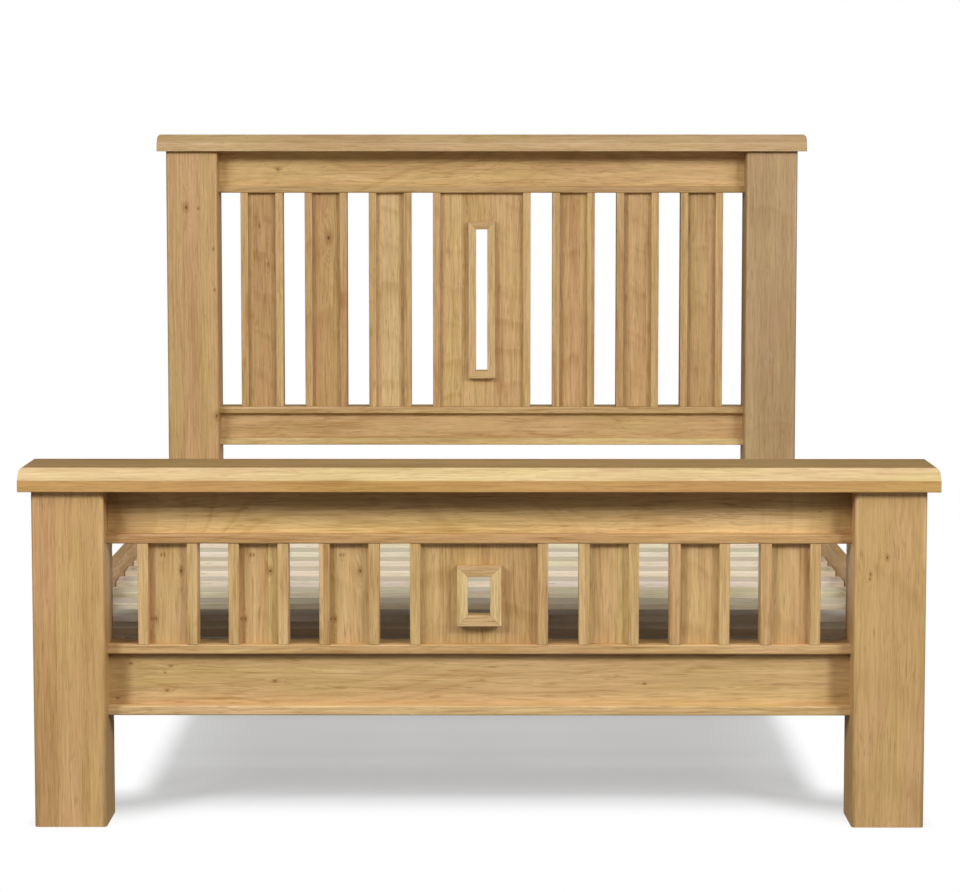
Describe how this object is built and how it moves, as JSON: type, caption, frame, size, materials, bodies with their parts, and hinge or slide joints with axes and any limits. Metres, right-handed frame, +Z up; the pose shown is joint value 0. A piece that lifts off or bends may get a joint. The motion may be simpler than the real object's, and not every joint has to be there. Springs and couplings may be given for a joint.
{
  "type": "panel bed",
  "caption": "Solid-wood panel bed frame with a high headboard, a low footboard, upright framed slats, windowed centre panels, side rails and a slatted base.",
  "frame": {"origin": "on the floor, under the centre of the whole bed", "axes": "+X to the right seen from the foot end, +Y from the footboard to the headboard, +Z up"},
  "size_m": [1.7, 2.29, 1.3],
  "materials": {
    "oak": "satin clear lacquer",
    "pine": "sanded, bare",
    "zinc_plated_steel": "zinc plated",
    "glide_plastic": "fine matte"
  },
  "bodies": {
    "root": {"head_post_left": "oak", "head_post_right": "oak", "head_cap": "oak", "head_top_rail": "oak", "head_lower_rail": "oak", "head_top_rail_bead": "oak", "head_lower_rail_beads": "oak", "head_slat_1": "oak", "head_slat_2": "oak", "head_slat_3": "oak", "head_slat_4": "oak", "head_slat_5": "oak", "head_slat_6": "oak", "head_panel": "oak", "head_edge_strips": "oak", "head_window_frame": "oak", "foot_post_left": "oak", "foot_post_right": "oak", "foot_cap": "oak", "foot_top_rail": "oak", "foot_lower_rail": "oak", "foot_top_rail_bead": "oak", "foot_lower_rail_beads": "oak", "foot_slat_1": "oak", "foot_slat_2": "oak", "foot_slat_3": "oak", "foot_slat_4": "oak", "foot_slat_5": "oak", "foot_slat_6": "oak", "foot_panel": "oak", "foot_edge_strips": "oak", "foot_window_frame": "oak", "head_tie_rail": "oak", "side_rail_left": "oak", "bearer_left": "pine", "side_rail_right": "oak", "bearer_right": "pine", "bed_slat_01": "pine", "bed_slat_02": "pine", "bed_slat_03": "pine", "bed_slat_04": "pine", "bed_slat_05": "pine", "bed_slat_06": "pine", "bed_slat_07": "pine", "bed_slat_08": "pine", "bed_slat_09": "pine", "bed_slat_10": "pine", "bed_slat_11": "pine", "bed_slat_12": "pine", "bed_slat_13": "pine", "bed_slat_14": "pine", "bed_slat_15": "pine", "centre_rail": "pine", "centre_leg": "pine", "floor_glides": "glide_plastic", "rail_studs": "zinc_plated_steel", "crescent_washers": "zinc_plated_steel", "rail_nuts": "zinc_plated_steel", "wood_screws": "zinc_plated_steel", "centre_rail_brackets": "zinc_plated_steel"}
  },
  "joints": []
}
